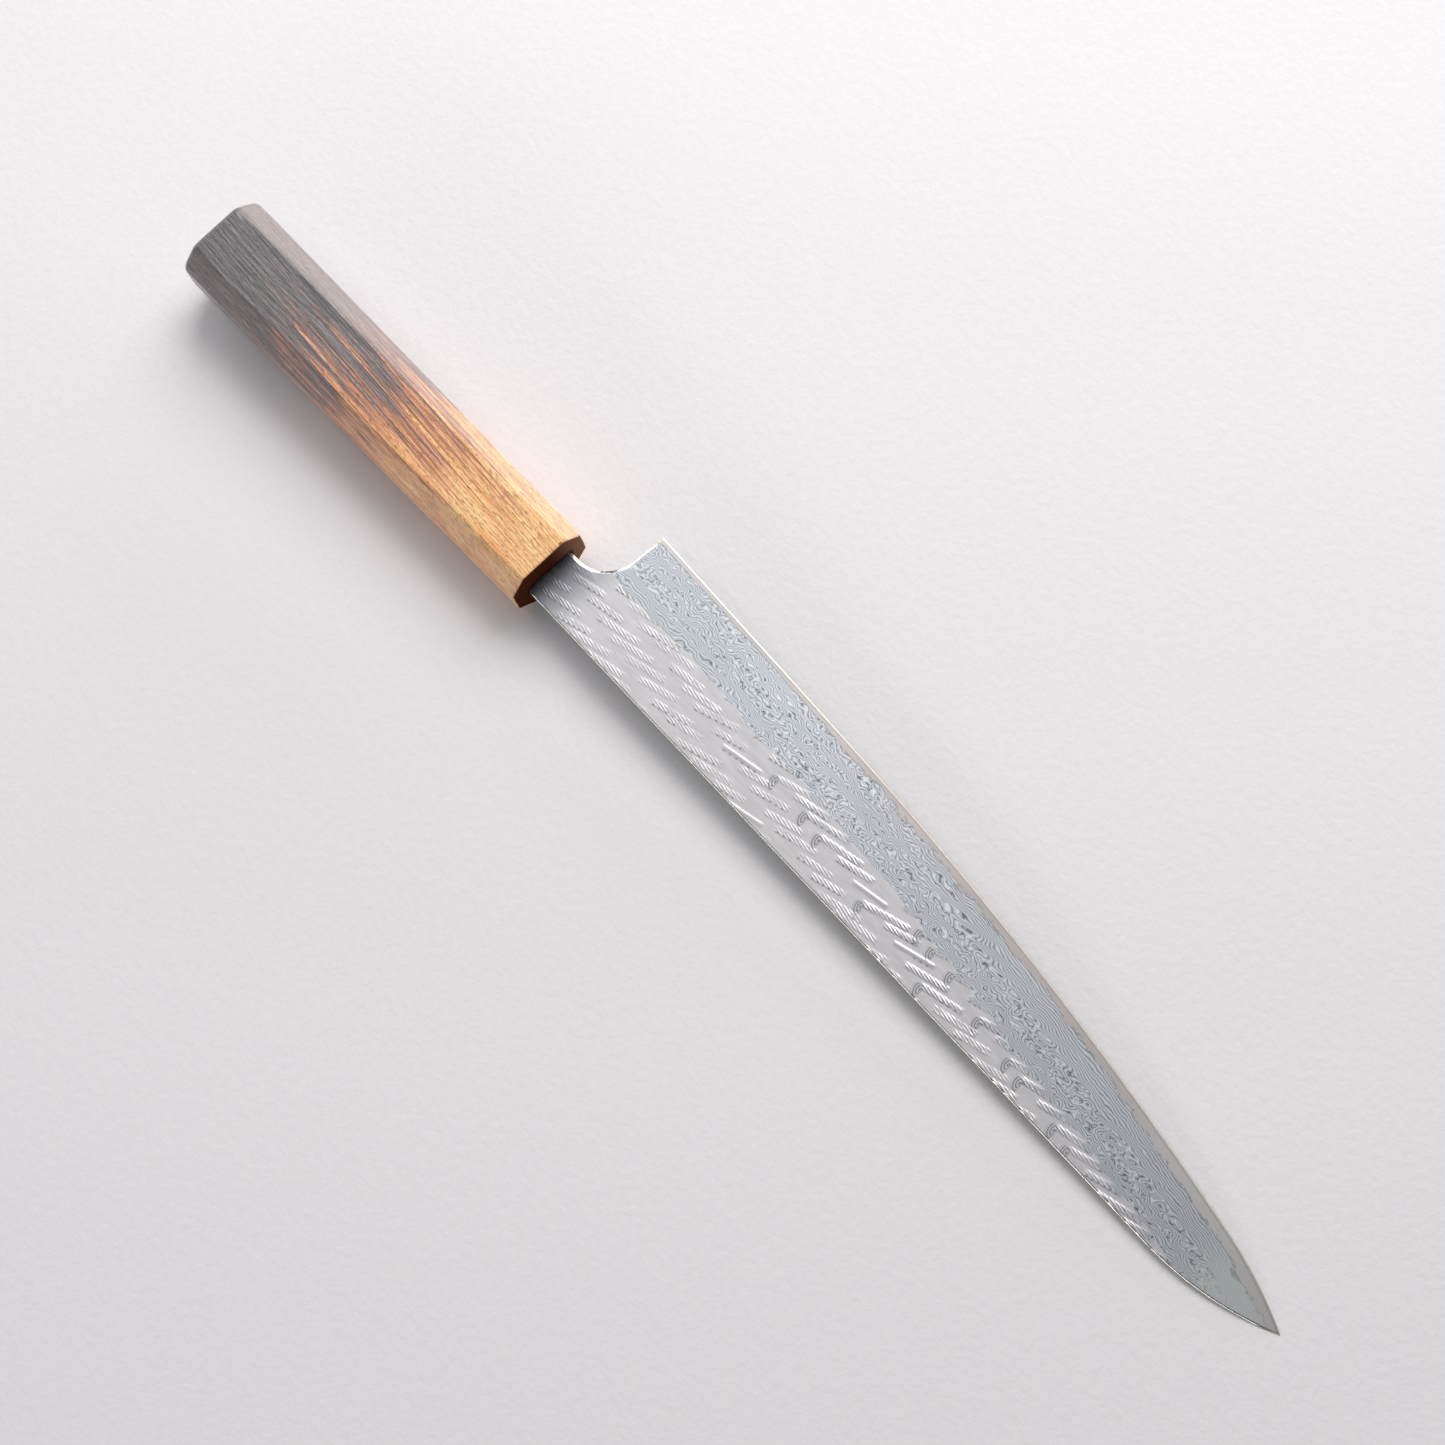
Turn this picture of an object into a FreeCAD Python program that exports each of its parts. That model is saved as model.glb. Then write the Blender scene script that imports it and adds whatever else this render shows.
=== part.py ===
import FreeCAD, Part
import math
import os
import Sketcher
from FreeCAD import Vector

# A laminated slicing knife with an octagonal wooden handle, lying on its side.
# Every piece is drawn in the knife's own frame: the origin is the middle of the handle's front
# face, +X runs to the tip, +Y to the cutting edge and +Z out of the blade's upper face. The
# pieces' shared Placement then lays the knife down, with the floor at z = 0 and the origin under
# the middle of its bounding box.

SIZES = [
    # name, value in mm, meaning
    ("handle_length", 138.9, "handle, along its axis"),
    ("front_width", 25.0, "octagon at the front face, across Y"),
    ("front_thick", 20.0, "octagon at the front face, across Z"),
    ("front_bevel", 5.1, "corner cut of the front octagon, along Y and Z"),
    ("butt_width", 27.8, "octagon at the butt, across Y"),
    ("butt_thick", 22.2, "octagon at the butt, across Z"),
    ("butt_bevel", 5.7, "corner cut of the butt octagon"),
    ("butt_ease", 0.7, "small bevel round the butt"),
    ("cavity_gap", 0.45, "space for adhesive all round the tang"),
    ("seal_depth", 1.5, "depth of the dark sealing bead in the mouth of the slot"),
    ("seal_recess", 0.4, "how far the bead lies behind the front face"),
    ("tang_length", 98.0, "tang inside the handle, from the front face"),
    ("shoulder_depth", 7.0, "full-height neck inside the handle"),
    ("tang_root", 9.0, "height of the tang at its root"),
    ("tang_end", 5.0, "height of the tang at its end"),
    ("neck_spine", -7.8, "spine line at the handle's front face"),
    ("neck_top", 8.0, "upper line of the neck"),
    ("choil_radius", 11.0, "concave curve between the neck and the heel"),
    ("choil_x", 14.1, "where the choil curve meets the back of the heel"),
    ("choil_y", 19.0, "height of that point"),
    ("heel_x", 14.6, "heel point"),
    ("heel_y", 28.6, "heel point"),
    ("flat_end_x", 91.2, "end of the edge's straight part"),
    ("flat_end_y", 25.0, "end of the edge's straight part"),
    ("belly_end_x", 255.8, "end of the long belly curve"),
    ("belly_end_y", 5.2, "end of the long belly curve"),
    ("tip_x", 283.6, "tip"),
    ("tip_y", -3.8, "tip"),
    ("spine_end_x", 243.0, "end of the spine's straight part"),
    ("spine_end_y", -12.0, "end of the spine's straight part"),
    ("heel_thick", 2.2, "blade thickness at the heel, the neck and the tang"),
    ("tip_thick", 1.0, "thickness that the spine's taper reaches at the tip"),
    ("land_thick", 0.22, "thickness behind the sharpened edge"),
    ("core_thick", 0.4, "hard core layer"),
    ("outer_thick", 0.15, "plain outer layer, each side"),
    ("edge_margin", 0.4, "how far the grinding runs past the outline"),
    ("edge_bevel", 0.7, "width of the sharpening bevel"),
    ("edge_left", 0.04, "thickness left at the very edge"),
]

# Cross-sections that the blade is ground to: name, distance from the handle, height of the grind
# line and height of the cutting edge. The last lies just past the tip.
STATIONS = [
    ("heel_section", 14.0, 11.4, 28.7),
    ("long_section", 60.0, 10.1, 26.5),
    ("third_section", 105.0, 7.8, 24.3),
    ("middle_section", 140.0, 4.6, 21.7),
    ("belly_section", 180.0, -0.4, 17.4),
    ("fore_section", 215.0, -4.9, 12.6),
    ("bend_section", 250.0, -10.2, 6.4),
    ("nose_section", 268.0, -12.8, 2.3),
    ("tip_section", 285.0, -15.0, -4.2),
]

# Room that the cutting solids take round the knife, in mm: past the tang's end, below the spine,
# the slabs' width, and the half spaces' length, width and height.
PAST_TANG = 5
BELOW_SPINE = 30
SLAB_WIDTH = 100
SPACE_START, SPACE_LENGTH, SPACE_WIDTH, SPACE_HEIGHT = -200, 600, 200, 50
MOUTH_WIDTH = 60

# Points closer together than this are one point.
SAME_PLACE = 1e-6
# The land's edges lie inside the core by more than this, and start at the heel within it.
LAND_SLACK = 0.02


def make_sheet(document):
    sheet = document.addObject("Spreadsheet::Sheet", "sizes")
    rows = list(SIZES)
    for name, along, grind, edge in STATIONS:
        rows.append((name + "_x", along, "distance of this cross-section from the front face"))
        rows.append((name + "_grind", grind, "grind line at this cross-section"))
        rows.append((name + "_edge", edge, "cutting edge at this cross-section"))
    for row, (name, value, meaning) in enumerate(rows, start=1):
        sheet.set(f"A{row}", name)
        sheet.set(f"B{row}", str(value))
        sheet.set(f"C{row}", meaning)
        sheet.setAlias(f"B{row}", name)
    document.recompute()
    return sheet


def origin_plane(body, role):
    return next(plane for plane in body.Origin.OriginFeatures if plane.Role == role)


def sketch_on(body, name, role):
    sketch = body.newObject("Sketcher::SketchObject", name)
    sketch.AttachmentSupport = [(origin_plane(body, role), "")]
    sketch.MapMode = "FlatFace"
    return sketch


def evaluated(sketch, point):
    return Vector(*(float(sketch.evalExpression(text)) for text in point), 0)


def pin(sketch, curve, end, point):
    """Holds one end of a curve at a point given as two expressions."""
    place = evaluated(sketch, point)
    for kind, value, text in (("DistanceX", place.x, point[0]), ("DistanceY", place.y, point[1])):
        number = sketch.addConstraint(Sketcher.Constraint(kind, -1, 1, curve, end, value))
        sketch.setExpression(f"Constraints[{number}]", text)


def polygon(sketch, points):
    """A closed polygon whose corners are pairs of expressions."""
    places = [evaluated(sketch, point) for point in points]
    for number, place in enumerate(places):
        following = places[(number + 1) % len(places)]
        sketch.addGeometry(Part.LineSegment(place, following), False)
    for number in range(len(points)):
        following = (number + 1) % len(points)
        sketch.addConstraint(Sketcher.Constraint("Coincident", number, 2, following, 1))
    for number, point in enumerate(points):
        pin(sketch, number, 1, point)


def mirrored(points):
    """The given points, then the same ones mirrored in the horizontal axis, in reverse."""
    return points + [(across, f"-({up})") for across, up in reversed(points)]


def spine_thick(along):
    """The blade's full thickness at a distance from the handle, as an expression."""
    share = f"({along} - sizes.heel_x) / (sizes.tip_x - sizes.heel_x)"
    return f"(sizes.heel_thick - (sizes.heel_thick - sizes.tip_thick) * {share})"


def arc_from(start, direction, end):
    """The arc from start to end that sets off along direction, and its direction at the end."""
    chord = end - start
    half_turn = math.atan2(direction.x * chord.y - direction.y * chord.x, direction * chord)
    sideways = Vector(chord.y, -chord.x, 0)
    middle = (start + end) * 0.5 + sideways * (0.5 * math.tan(half_turn / 2))
    arriving = direction.normalize() * -1 + chord.normalize() * (2 * math.cos(half_turn))
    return Part.Arc(start, middle, end), arriving


def draw_blade_outline(sketch):
    """Tang, neck, choil, edge and spine in one closed outline, with the curves as arcs."""
    corners = [
        ("-sizes.tang_length", "-sizes.tang_end / 2"),
        ("-sizes.shoulder_depth", "-sizes.tang_root / 2"),
        ("-sizes.shoulder_depth", "sizes.neck_spine"),
        ("sizes.spine_end_x", "sizes.spine_end_y"),
        ("sizes.tip_x", "sizes.tip_y"),
        ("sizes.belly_end_x", "sizes.belly_end_y"),
        ("sizes.flat_end_x", "sizes.flat_end_y"),
        ("sizes.heel_x", "sizes.heel_y"),
        ("sizes.choil_x", "sizes.choil_y"),
        ("sizes.choil_x - sizes.choil_radius", "sizes.neck_top"),
        ("-sizes.shoulder_depth", "sizes.neck_top"),
        ("-sizes.shoulder_depth", "sizes.tang_root / 2"),
        ("-sizes.tang_length", "sizes.tang_end / 2"),
    ]
    places = [evaluated(sketch, corner) for corner in corners]
    neck_low, spine_end, tip, belly_end, flat_end, heel, choil_end, choil_start = places[2:10]
    nose, _ = arc_from(spine_end, spine_end - neck_low, tip)
    belly, at_belly_end = arc_from(flat_end, flat_end - heel, belly_end)
    tip_curve, _ = arc_from(belly_end, at_belly_end, tip)
    choil_middle = Vector(choil_start.x, choil_end.y, 0)
    choil_radius = choil_end.x - choil_start.x
    diagonal = Vector(choil_radius, -choil_radius, 0) * math.sqrt(0.5)
    choil = Part.Arc(choil_end, choil_middle + diagonal, choil_start)
    arcs = {3: nose, 4: tip_curve, 5: belly, 8: choil}
    for number, place in enumerate(places):
        following = places[(number + 1) % len(places)]
        sketch.addGeometry(arcs.get(number, Part.LineSegment(place, following)), False)
    hold_corners(sketch, corners)


def hold_corners(sketch, corners):
    """Pins every corner, finding which end of its curve lies there, and sets the arcs' bend."""
    for number, corner in enumerate(corners):
        place = evaluated(sketch, corner)
        for curve in (number, number - 1 if number else len(corners) - 1):
            near_start = (sketch.getPoint(curve, 1) - place).Length < SAME_PLACE
            pin(sketch, curve, 1 if near_start else 2, corner)
    for number, curve in enumerate(sketch.Geometry):
        if isinstance(curve, Part.ArcOfCircle):
            sketch.addConstraint(Sketcher.Constraint("Radius", number, curve.Radius))


def rest(piece):
    """Lays a piece down as the knife lies: on the handle's lower front edge and on the tip."""
    tilt = "atan((sizes.front_thick - sizes.land_thick) / 2 / sizes.tip_x)"
    reach = "(sizes.tip_x - sizes.handle_length)"
    butt_corner = "(sizes.butt_thick / 2 - sizes.butt_ease)"
    piece.Placement = FreeCAD.Placement(Vector(), FreeCAD.Rotation(Vector(0, 1, 0), 1))
    piece.setExpression("Placement.Rotation.Angle", tilt)
    middle = f"-({reach} * cos({tilt}) - {butt_corner} * sin({tilt})) / 2"
    piece.setExpression("Placement.Base.x", middle)
    piece.setExpression("Placement.Base.y", "-(sizes.heel_y - sizes.butt_width / 2) / 2")
    piece.setExpression("Placement.Base.z", f"sizes.front_thick / 2 * cos({tilt})")


def padded_outline(document, name, draw, thick):
    """A flat body of an outline drawn on the blade's middle plane, thick expression in all."""
    body = document.addObject("PartDesign::Body", name)
    sketch = sketch_on(body, name + "_sketch", "XY_Plane")
    draw(sketch)
    pad = body.newObject("PartDesign::Pad", name + "_pad")
    pad.Profile = sketch
    pad.Midplane = True
    pad.setExpression("Length", thick)
    return body


def ground_sections(document):
    """The blade as ground: flat faces down to the grind line, then a bevel to the edge."""
    body = document.addObject("PartDesign::Body", "ground_sections")
    sketches = []
    stations = [("tang_section", f"-sizes.tang_length - {PAST_TANG}", "heel_section", "sizes.heel_x")]
    for name, _, _, _ in STATIONS:
        stations.append((name, f"sizes.{name}_x", name, f"sizes.{name}_x"))
    for name, along, shape, taper_at in stations:
        sketch = sketch_on(body, name, "YZ_Plane")
        sketch.setExpression("AttachmentOffset.Base.z", along)
        half = f"{spine_thick(taper_at)} / 2"
        upper = [
            (str(-BELOW_SPINE), half),
            (f"sizes.{shape}_grind", half),
            (f"sizes.{shape}_edge + sizes.edge_margin", "sizes.land_thick / 2"),
        ]
        polygon(sketch, mirrored(upper))
        sketches.append(sketch)
    loft = body.newObject("PartDesign::AdditiveLoft", "ground_loft")
    loft.Profile = sketches[0]
    loft.Sections = sketches[1:]
    loft.Ruled = True
    return body


def tapered_slab(document, name, heel_half, tip_half):
    """A slab that follows the spine's taper, given its half thickness at the heel and the tip."""
    body = document.addObject("PartDesign::Body", name)
    sketch = sketch_on(body, name + "_sketch", "XZ_Plane")
    upper = [
        (f"-sizes.tang_length - {PAST_TANG}", heel_half),
        ("sizes.heel_x", heel_half),
        ("sizes.tip_x", tip_half),
    ]
    polygon(sketch, mirrored(upper))
    pad = body.newObject("PartDesign::Pad", name + "_pad")
    pad.Profile = sketch
    pad.Midplane = True
    pad.Length = SLAB_WIDTH
    return body


def half_space(document, name, sign):
    """A box that holds everything above the blade's middle plane, or below it."""
    box = document.addObject("Part::Box", name)
    box.Length, box.Width, box.Height = SPACE_LENGTH, SPACE_WIDTH, SPACE_HEIGHT
    box.Placement.Base = Vector(SPACE_START, -SPACE_WIDTH / 2, 0 if sign > 0 else -SPACE_HEIGHT)
    return box


def boolean(document, kind, name, base, tool):
    result = document.addObject(kind, name)
    result.Base = base
    result.Tool = tool
    return result


def sharpened(document, core_blank):
    """The core with its sharpening bevels, which leave almost nothing at the very edge."""
    document.recompute()
    sizes = document.sizes
    narrow = (sizes.land_thick - sizes.edge_left) / 2
    core = document.addObject("Part::Chamfer", "core_steel")
    core.Base = core_blank
    bevels = []
    for number, edge in enumerate(core_blank.Shape.Edges, start=1):
        if on_cutting_land(edge, sizes):
            bevels.append((number, sizes.edge_bevel, narrow))
    core.Edges = bevels
    document.recompute()
    if not bevels or core.Shape.Volume >= core_blank.Shape.Volume:
        raise SystemExit("the sharpening bevels cut nothing off the core")
    return core


def on_cutting_land(edge, sizes):
    """True for an edge that runs along the blade where its ground faces end in the land."""
    ends = [vertex.Point for vertex in edge.Vertexes]
    ahead_of_heel = all(end.x > sizes.heel_x - LAND_SLACK for end in ends)
    in_land = all(0 < abs(end.z) < sizes.core_thick / 2 - LAND_SLACK for end in ends)
    one_side = ends[0].z * ends[-1].z > 0
    return ahead_of_heel and in_land and one_side


def make_blade(document):
    """The forge-welded layers: hard core, layered steel each side, plain steel outside."""
    outline = padded_outline(document, "outline", draw_blade_outline, "2 * sizes.heel_thick")
    ground = ground_sections(document)
    blank = boolean(document, "Part::Common", "blank", outline, ground)
    core_slab = tapered_slab(document, "core_slab", "sizes.core_thick / 2", "sizes.core_thick / 2")
    stack_slab = tapered_slab(
        document,
        "stack_slab",
        "sizes.heel_thick / 2 - sizes.outer_thick",
        "sizes.tip_thick / 2 - sizes.outer_thick",
    )
    core_blank = boolean(document, "Part::Common", "core_blank", blank, core_slab)
    core = sharpened(document, core_blank)
    inner = boolean(document, "Part::Common", "inner_layers", blank, stack_slab)
    outer = boolean(document, "Part::Cut", "outer_layers", blank, stack_slab)
    layered = boolean(document, "Part::Cut", "layered_steel", inner, core_slab)
    pieces = [core]
    for side, sign in (("upper", 1), ("lower", -1)):
        space = half_space(document, side + "_space", sign)
        pieces.append(boolean(document, "Part::Common", "damascus_" + side, layered, space))
        pieces.append(boolean(document, "Part::Common", "face_steel_" + side, outer, space))
    return blank, pieces


def draw_cavity(sketch):
    """The slot for the neck and the narrowing hole for the tang, with the adhesive's gap."""
    gap = "sizes.cavity_gap"
    lower = [
        (f"-sizes.tang_length - {gap}", f"-sizes.tang_end / 2 - {gap}"),
        (f"-sizes.shoulder_depth - {gap}", f"-sizes.tang_root / 2 - {gap}"),
        (f"-sizes.shoulder_depth - {gap}", f"-sizes.neck_top - {gap}"),
        ("0", f"-sizes.neck_top - {gap}"),
    ]
    polygon(sketch, mirrored(lower))


def tapered_block(document, name, turn, butt_sides, front_sides):
    """A four-sided block along the handle's axis, turned about it, given its sides' lengths."""
    block = document.addObject("Part::Wedge", name)
    for end, sides in (("", butt_sides), ("2", front_sides)):
        for axis, side in zip("XZ", sides):
            block.setExpression(f"{axis}{end}min", f"-({side}) / 2")
            block.setExpression(f"{axis}{end}max", f"({side}) / 2")
    block.setExpression("Ymin", "-sizes.handle_length")
    block.Ymax = 0
    along_the_handle = FreeCAD.Rotation(Vector(1, 1, 0), 180)
    block.Placement.Rotation = FreeCAD.Rotation(Vector(1, 0, 0), turn) * along_the_handle
    return block


def corner_block_side(end):
    """Side of the square, turned by an eighth, that cuts the octagon's four corners."""
    return f"(sizes.{end}_width + sizes.{end}_thick - 2 * sizes.{end}_bevel) / sqrt(2)"


def edges_at(shape, along):
    """Numbers of the edges that lie wholly at one distance along X."""
    numbers = []
    for number, edge in enumerate(shape.Edges, start=1):
        if all(abs(vertex.X - along) < SAME_PLACE for vertex in edge.Vertexes):
            numbers.append(number)
    return numbers


def make_handle(document, filling):
    """One block of burnt hardwood: a tapering octagon with the tang's cavity let into it."""
    flat = tapered_block(
        document,
        "flat_sides",
        0,
        ("sizes.butt_width", "sizes.butt_thick"),
        ("sizes.front_width", "sizes.front_thick"),
    )
    butt_side, front_side = corner_block_side("butt"), corner_block_side("front")
    corners = tapered_block(
        document, "corner_sides", 45, (butt_side, butt_side), (front_side, front_side)
    )
    octagon = boolean(document, "Part::Common", "octagon", flat, corners)
    document.recompute()
    sizes = document.sizes
    eased = document.addObject("Part::Chamfer", "eased_butt")
    eased.Base = octagon
    butt_edges = edges_at(octagon.Shape, -sizes.handle_length)
    eased.Edges = [(number, sizes.butt_ease, sizes.butt_ease) for number in butt_edges]
    return boolean(document, "Part::Cut", "handle", eased, filling)


def front_slice(document, name, depth):
    """A box round the mouth of the cavity, from the bead's inner end out by the given depth."""
    box = document.addObject("Part::Box", name)
    box.Width = box.Height = MOUTH_WIDTH
    box.Placement.Base = Vector(0, -MOUTH_WIDTH / 2, -MOUTH_WIDTH / 2)
    box.setExpression("Length", depth)
    box.setExpression("Placement.Base.x", "-sizes.seal_depth - sizes.seal_recess")
    return box


def make_bedding(document, blank, filling):
    """The adhesive that fills the cavity round the tang, and the bead that seals its mouth."""
    mouth = front_slice(document, "mouth_space", "sizes.seal_depth + sizes.seal_recess")
    bead = front_slice(document, "bead_space", "sizes.seal_depth")
    round_tang = boolean(document, "Part::Cut", "round_tang", filling, blank)
    adhesive = boolean(document, "Part::Cut", "tang_adhesive", round_tang, mouth)
    seal = boolean(document, "Part::Common", "mouth_seal", round_tang, bead)
    return [adhesive, seal]


def check(document, pieces):
    for thing in document.Objects:
        if "Invalid" in thing.State or "Error" in thing.State:
            raise SystemExit(f"{thing.Name} did not compute: {thing.State}")
    for piece in pieces:
        shape = piece.Shape
        if shape.isNull() or not shape.isValid() or not shape.Solids:
            raise SystemExit(f"{piece.Label} has no valid solid")
        print(f"{piece.Label}: {len(shape.Solids)} solid, {shape.Volume:.1f} mm3")


def main():
    document = FreeCAD.newDocument("slicing_knife")
    make_sheet(document)
    blank, pieces = make_blade(document)
    cavity_thick = "sizes.heel_thick + 2 * sizes.cavity_gap"
    filling = padded_outline(document, "cavity_filling", draw_cavity, cavity_thick)
    pieces.append(make_handle(document, filling))
    pieces += make_bedding(document, blank, filling)
    document.recompute()
    for piece in pieces:
        piece.Label = piece.Name
        rest(piece)
    document.recompute()
    check(document, pieces)
    os.makedirs("parts", exist_ok=True)
    for piece in pieces:
        piece.Shape.exportStep(f"parts/{piece.Label}.step")


main()
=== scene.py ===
import math
import bpy
import numpy as np
from mathutils import Matrix, Vector


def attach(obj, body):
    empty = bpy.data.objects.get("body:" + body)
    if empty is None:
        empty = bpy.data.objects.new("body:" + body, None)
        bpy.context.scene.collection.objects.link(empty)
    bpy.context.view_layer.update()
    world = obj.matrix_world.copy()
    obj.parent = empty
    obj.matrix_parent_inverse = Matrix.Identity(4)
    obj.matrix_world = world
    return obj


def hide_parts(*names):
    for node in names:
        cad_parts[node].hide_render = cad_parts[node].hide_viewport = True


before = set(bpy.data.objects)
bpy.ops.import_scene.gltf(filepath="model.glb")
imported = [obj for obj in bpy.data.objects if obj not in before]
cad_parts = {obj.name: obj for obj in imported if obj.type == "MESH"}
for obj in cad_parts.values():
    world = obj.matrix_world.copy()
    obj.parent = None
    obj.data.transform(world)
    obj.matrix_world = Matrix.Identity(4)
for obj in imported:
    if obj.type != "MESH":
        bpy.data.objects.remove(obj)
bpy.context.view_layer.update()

# The knife's own frame, in millimetres, as it is drawn: the origin is the middle of the handle's
# front face, +X runs to the tip, +Y to the cutting edge and +Z out of the blade's upper face.
MM = 0.001
HANDLE_LENGTH = 138.9
FRONT_WIDTH, FRONT_THICK, FRONT_BEVEL = 25.0, 20.0, 5.1
BUTT_WIDTH, BUTT_THICK, BUTT_BEVEL = 27.8, 22.2, 5.7
BUTT_EASE = 0.7
CAVITY_GAP = 0.45
TANG_LENGTH, TANG_ROOT, TANG_END, SHOULDER_DEPTH = 98.0, 9.0, 5.0, 7.0
NECK_SPINE, NECK_TOP = -7.8, 8.0
CHOIL_RADIUS, CHOIL = 11.0, (14.1, 19.0)
HEEL, FLAT_END, BELLY_END = (14.6, 28.6), (91.2, 25.0), (255.8, 5.2)
TIP, SPINE_END = (283.6, -3.8), (243.0, -12.0)
HEEL_THICK, TIP_THICK, LAND_THICK = 2.2, 1.0, 0.22
# where the ground face leaves the hammered one, as distance from the handle and height across
GRIND_LINE = (
    (14.0, 11.4), (60.0, 10.1), (105.0, 7.8), (140.0, 4.6), (180.0, -0.4),
    (215.0, -4.9), (250.0, -10.2), (268.0, -12.8), (285.0, -15.0),
)

TILT = math.atan((FRONT_THICK - LAND_THICK) / 2 / TIP[0])
LAY_DOWN = Matrix.Translation((
    -((TIP[0] - HANDLE_LENGTH) * math.cos(TILT)
      - (BUTT_THICK / 2 - BUTT_EASE) * math.sin(TILT)) / 2 * MM,
    -(HEEL[1] - BUTT_WIDTH / 2) / 2 * MM,
    FRONT_THICK / 2 * math.cos(TILT) * MM,
)) @ Matrix.Rotation(TILT, 4, "Y") @ Matrix.Scale(MM, 4)


# ---------------------------------------------------------------- small tools


def smooth_step(low, high, value):
    share = np.clip((value - low) / (high - low), 0, 1)
    return share * share * (3 - 2 * share)


def lattice_noise(across, along, seed):
    """Smooth noise from -1 to 1 whose bumps are one unit wide."""
    table = np.random.default_rng(seed).uniform(-1, 1, (256, 256))
    column, row = np.floor(across).astype(int), np.floor(along).astype(int)
    u, v = across - column, along - row
    u, v = u * u * (3 - 2 * u), v * v * (3 - 2 * v)
    low = table[column & 255, row & 255] * (1 - u) + table[(column + 1) & 255, row & 255] * u
    high = table[column & 255, (row + 1) & 255] * (1 - u)
    high = high + table[(column + 1) & 255, (row + 1) & 255] * u
    return low * (1 - v) + high * v


def rough_noise(across, along, seed, octaves=3):
    total = 0
    for octave in range(octaves):
        scale = 2 ** octave
        total = total + lattice_noise(across * scale, along * scale, seed + octave) / scale
    return total


def make_object(name, points, faces, values=None):
    """A smooth-shaded mesh of knife-frame points, laid down in the row frame."""
    mesh = bpy.data.meshes.new(name)
    faces = [np.asarray(group, np.int32) for group in faces if len(group)]
    corners = np.concatenate([group.ravel() for group in faces])
    totals = np.concatenate([np.full(len(group), group.shape[1], np.int32) for group in faces])
    starts = np.concatenate([[0], np.cumsum(totals)[:-1]]).astype(np.int32)
    mesh.vertices.add(len(points))
    mesh.loops.add(len(corners))
    mesh.polygons.add(len(totals))
    laid = np.c_[points, np.ones(len(points))] @ np.array(LAY_DOWN).T
    mesh.vertices.foreach_set("co", laid[:, :3].astype(np.float32).ravel())
    mesh.loops.foreach_set("vertex_index", corners)
    mesh.polygons.foreach_set("loop_start", starts)
    mesh.polygons.foreach_set("loop_total", totals)
    mesh.polygons.foreach_set("use_smooth", np.ones(len(totals), bool))
    place = mesh.attributes.new("place", "FLOAT_VECTOR", "POINT")
    place.data.foreach_set("vector", np.asarray(points, np.float32).ravel())
    for key, numbers in (values or {}).items():
        layer = mesh.attributes.new(key, "FLOAT", "POINT")
        layer.data.foreach_set("value", np.asarray(numbers, np.float32))
    mesh.update(calc_edges=True)
    mesh.validate()
    made = bpy.data.objects.new(name, mesh)
    bpy.context.scene.collection.objects.link(made)
    return made


# ---------------------------------------------------------------- blade outline


def arc_height(along, start, slope, end):
    """Height of the arc that leaves start at a slope and reaches end, and its slope there."""
    run, rise = end[0] - start[0], end[1] - start[1]
    heading = math.atan(slope)
    half_turn = math.atan2(rise, run) - heading
    radius = math.hypot(run, rise) / (2 * math.sin(half_turn))
    sine = math.sin(heading) + (along - start[0]) / radius
    sine = np.clip(sine, -0.999, 0.999)
    height = start[1] + radius * (math.cos(heading) - np.sqrt(1 - sine * sine))
    return height, math.tan(heading + 2 * half_turn)


def line_height(along, start, end):
    return start[1] + (along - start[0]) * (end[1] - start[1]) / (end[0] - start[0])


def spine_height(along):
    neck = (-SHOULDER_DEPTH, NECK_SPINE)
    straight = line_height(along, neck, SPINE_END)
    slope = (SPINE_END[1] - neck[1]) / (SPINE_END[0] - neck[0])
    nose, _ = arc_height(along, SPINE_END, slope, TIP)
    return np.where(along < SPINE_END[0], straight, nose)


def edge_height(along):
    slope = (FLAT_END[1] - HEEL[1]) / (FLAT_END[0] - HEEL[0])
    straight = line_height(along, HEEL, FLAT_END)
    belly, end_slope = arc_height(along, FLAT_END, slope, BELLY_END)
    point, _ = arc_height(along, BELLY_END, end_slope, TIP)
    return np.where(along < FLAT_END[0], straight, np.where(along < BELLY_END[0], belly, point))


def neck_height(along):
    """Upper outline of the neck up to where the choil curve turns upright."""
    past = np.clip(along - (CHOIL[0] - CHOIL_RADIUS), 0, CHOIL_RADIUS)
    return CHOIL[1] - np.sqrt(CHOIL_RADIUS ** 2 - past ** 2)


def choil_gap(along, up):
    """Distance from the neck's top, the choil curve and the back of the heel."""
    centre = (CHOIL[0] - CHOIL_RADIUS, CHOIL[1])
    back = (along - line_height(up, CHOIL[::-1], HEEL[::-1]))
    curve = np.hypot(along - centre[0], up - centre[1]) - CHOIL_RADIUS
    neck = NECK_TOP - up
    return np.where(up > CHOIL[1], back, np.where(along < centre[0], neck, curve))


def grind_height(along):
    """The grind line, rounded through its places."""
    places = np.array(GRIND_LINE)
    spread = np.linspace(-9, 9, 7)
    return sum(np.interp(along + s, places[:, 0], places[:, 1]) for s in spread) / len(spread)


# ---------------------------------------------------------------- hammer marks

MARK_ANGLE, RIB_ANGLE = math.radians(13), math.radians(-12.5)
MARK_LENGTH, MARK_WIDTH = 14.5, 2.1
RIB_PITCH, RIB_HIGH = 0.78, 0.08
CHAIN_STEP, NEXT_CHAIN = (6.8, -1.25), (-3.0, -8.0)
BOLD_FROM, BOLD_REACH = 92, 7.5


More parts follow.
